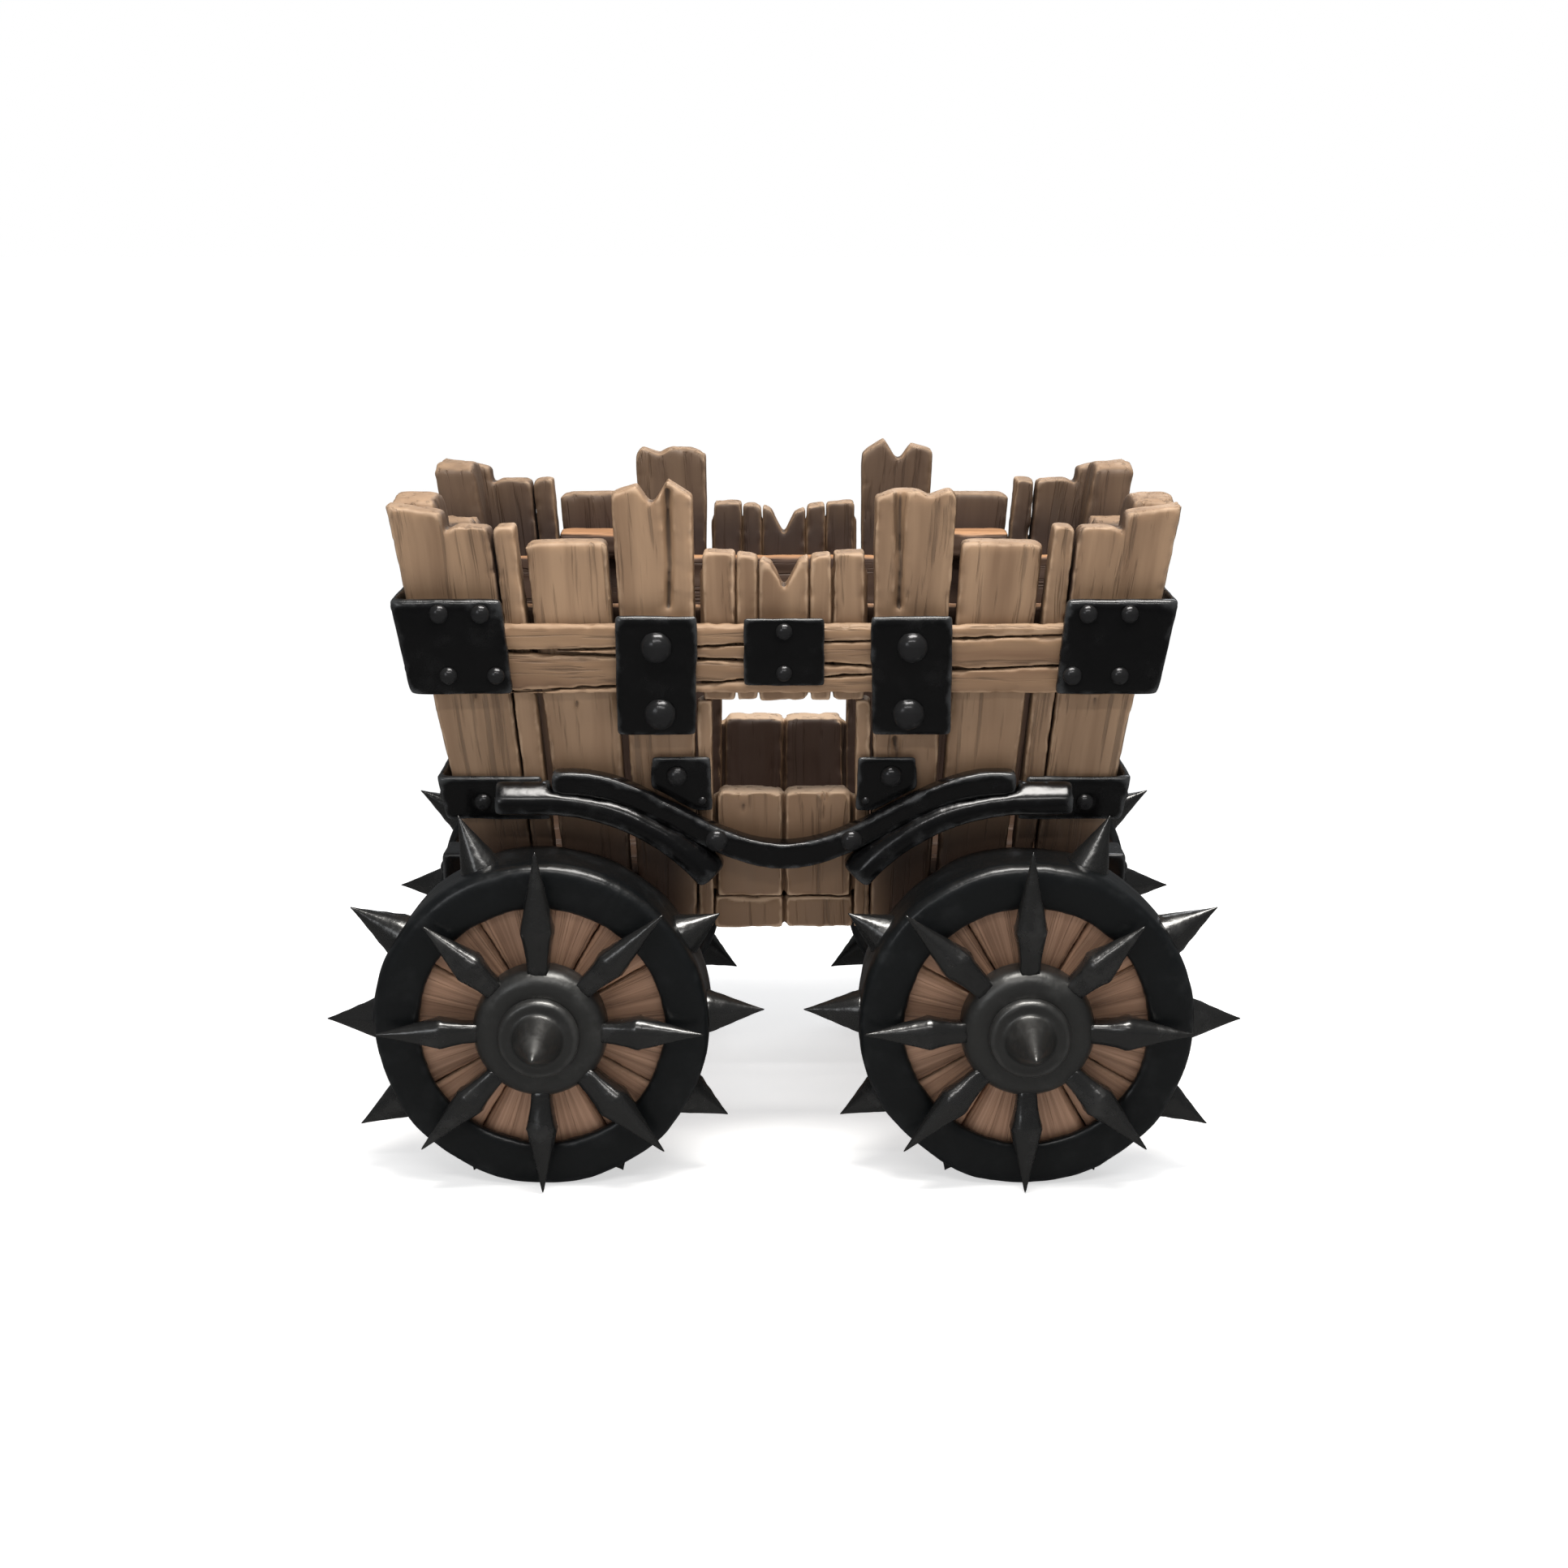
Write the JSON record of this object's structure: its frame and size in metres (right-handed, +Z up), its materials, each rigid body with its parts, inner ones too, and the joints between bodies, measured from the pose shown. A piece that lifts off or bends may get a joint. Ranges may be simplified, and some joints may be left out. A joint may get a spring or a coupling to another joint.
{
  "type": "mine cart",
  "caption": "Open mine cart: leaning plank tub bound with iron plates and straps, hatch openings in its sides, on spiked iron-tyred wheels under curved fenders.",
  "frame": {"origin": "on the ground under the middle of the tub", "axes": "+X to the front end of the cart along its length, +Y to its left side, +Z up"},
  "size_m": [1.5398, 1.3044, 1.1749],
  "materials": {
    "plank_wood": "weathered planks",
    "rail_wood": "weathered rails with long cracks",
    "inner_wood": "darker shaded wood",
    "frame_wood": "rough sawn timber",
    "wheel_wood": "radial grained boards",
    "plate_iron": "glossy black forged iron",
    "tyre_iron": "glossy black forged iron",
    "hub_iron": "dark worn iron",
    "spike_steel": "dark iron polished at the edges",
    "rivet_iron": "glossy black forged iron",
    "axle_steel": "turned and greased",
    "bronze": "plain bearing bronze"
  },
  "bodies": {
    "cart": {"right_corner_planks": "plank_wood", "left_corner_planks": "plank_wood", "side_planks": "plank_wood", "right_posts": "plank_wood", "left_posts": "plank_wood", "centre_boards": "plank_wood", "hatch_surround": "plank_wood", "front_end_planks": "plank_wood", "rear_end_planks": "plank_wood", "side_rails": "rail_wood", "end_rails": "rail_wood", "inner_battens": "inner_wood", "shelf_blocks": "inner_wood", "floor_planks": "inner_wood", "draw_beam": "frame_wood", "side_sills": "frame_wood", "bolsters": "frame_wood", "axle_blocks": "frame_wood", "axles": "axle_steel", "axle_washers": "axle_steel", "axle_nuts": "axle_steel", "beam_caps": "plate_iron", "upper_corner_brackets": "plate_iron", "lower_corner_brackets": "plate_iron", "post_plates": "plate_iron", "centre_plates": "plate_iron", "hatch_plates": "plate_iron", "wave_straps": "plate_iron", "fenders": "plate_iron", "plate_rivets": "rivet_iron", "bracket_rivets": "rivet_iron"},
    "front_right_wheel": {"front_right_tyre": "tyre_iron", "front_right_wheel_boards": "wheel_wood", "front_right_hub": "hub_iron", "front_right_bush": "bronze", "front_right_hub_cap": "hub_iron", "front_right_face_spikes": "spike_steel", "front_right_rim_spikes": "spike_steel"},
    "rear_right_wheel": {"rear_right_tyre": "tyre_iron", "rear_right_wheel_boards": "wheel_wood", "rear_right_hub": "hub_iron", "rear_right_bush": "bronze", "rear_right_hub_cap": "hub_iron", "rear_right_face_spikes": "spike_steel", "rear_right_rim_spikes": "spike_steel"},
    "front_left_wheel": {"front_left_tyre": "tyre_iron", "front_left_wheel_boards": "wheel_wood", "front_left_hub": "hub_iron", "front_left_bush": "bronze", "front_left_hub_cap": "hub_iron", "front_left_face_spikes": "spike_steel", "front_left_rim_spikes": "spike_steel"},
    "rear_left_wheel": {"rear_left_tyre": "tyre_iron", "rear_left_wheel_boards": "wheel_wood", "rear_left_hub": "hub_iron", "rear_left_bush": "bronze", "rear_left_hub_cap": "hub_iron", "rear_left_face_spikes": "spike_steel", "rear_left_rim_spikes": "spike_steel"}
  },
  "joints": [
    {"name": "front_right_spin", "type": "hinge", "parent": "cart", "child": "front_right_wheel", "pos_m": [0.403, -0.41522, 0.28], "axis": [0, 1, 0], "continuous": true},
    {"name": "rear_right_spin", "type": "hinge", "parent": "cart", "child": "rear_right_wheel", "pos_m": [-0.403, -0.41522, 0.28], "axis": [0, 1, 0], "continuous": true},
    {"name": "front_left_spin", "type": "hinge", "parent": "cart", "child": "front_left_wheel", "pos_m": [0.403, 0.41522, 0.28], "axis": [0, 1, 0], "continuous": true},
    {"name": "rear_left_spin", "type": "hinge", "parent": "cart", "child": "rear_left_wheel", "pos_m": [-0.403, 0.41522, 0.28], "axis": [0, 1, 0], "continuous": true}
  ]
}
